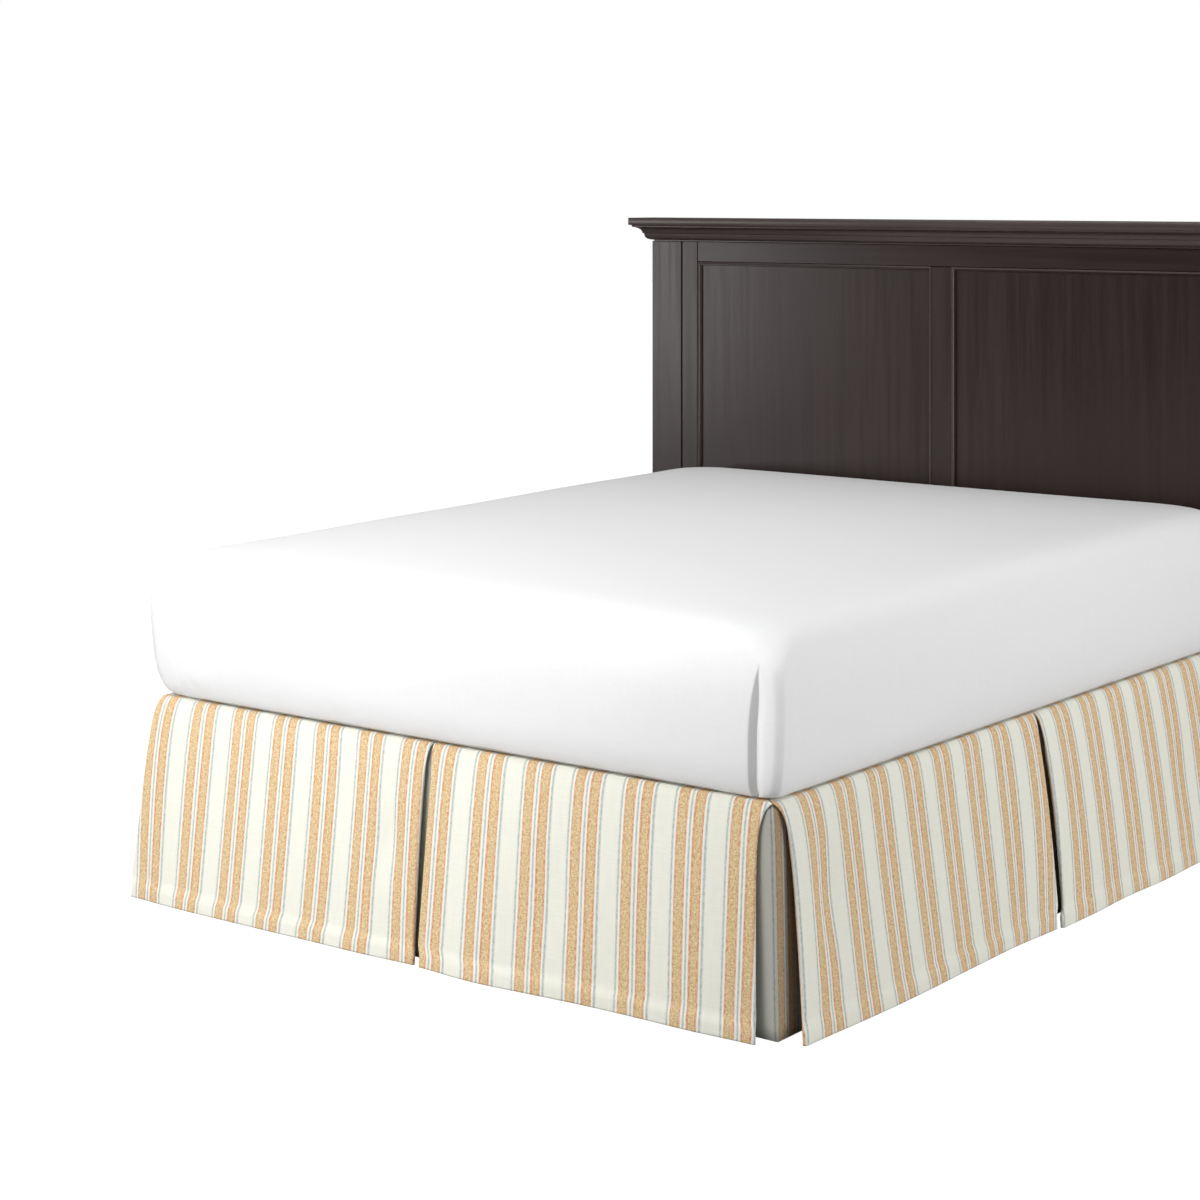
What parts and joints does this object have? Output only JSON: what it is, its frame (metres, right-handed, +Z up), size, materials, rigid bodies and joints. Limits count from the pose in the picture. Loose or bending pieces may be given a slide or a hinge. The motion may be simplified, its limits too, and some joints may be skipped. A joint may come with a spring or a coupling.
{
  "type": "bed skirt on a bed",
  "caption": "Tailored striped bed skirt with split corners and centre pleats, hanging to the floor from a plain bed with a mattress and a panelled wooden headboard.",
  "frame": {"origin": "on the floor, under the middle of the whole piece's box", "axes": "+Z up, +Y towards the head of the bed, +X towards its right-hand side as seen from the foot"},
  "size_m": [1.886, 2.1774, 1.4308],
  "materials": {
    "striped_cloth": "ivory woven cloth with paired ochre bands and blue-grey pin stripes",
    "deck_cloth": "plain ivory lining cloth",
    "white_sheet": "smooth white fitted sheet",
    "base_ticking": "plain matt cover cloth",
    "espresso_wood": "very dark stained wood with a satin lacquer",
    "dark_steel": "dark powder coat"
  },
  "bodies": {
    "root": {"base": "base_ticking", "cross_bar_1": "dark_steel", "cross_bar_2": "dark_steel", "cross_bar_3": "dark_steel", "deck": "deck_cloth", "foot_panel_left": "striped_cloth", "foot_panel_right": "striped_cloth", "foot_underlay": "striped_cloth", "frame_rail_left": "dark_steel", "frame_rail_right": "dark_steel", "headboard_centre_stile": "espresso_wood", "headboard_cornice": "espresso_wood", "headboard_lower_rail": "espresso_wood", "headboard_panel_left": "espresso_wood", "headboard_panel_right": "espresso_wood", "headboard_post_left": "espresso_wood", "headboard_post_right": "espresso_wood", "headboard_stile_left": "espresso_wood", "headboard_stile_right": "espresso_wood", "headboard_top_rail": "espresso_wood", "left_corner_underlay": "striped_cloth", "left_panel_foot": "striped_cloth", "left_panel_head": "striped_cloth", "left_underlay": "striped_cloth", "leg_left_1": "dark_steel", "leg_left_2": "dark_steel", "leg_left_3": "dark_steel", "leg_right_1": "dark_steel", "leg_right_2": "dark_steel", "leg_right_3": "dark_steel", "mattress": "white_sheet", "right_corner_underlay": "striped_cloth", "right_panel_foot": "striped_cloth", "right_panel_head": "striped_cloth", "right_underlay": "striped_cloth"}
  },
  "joints": []
}
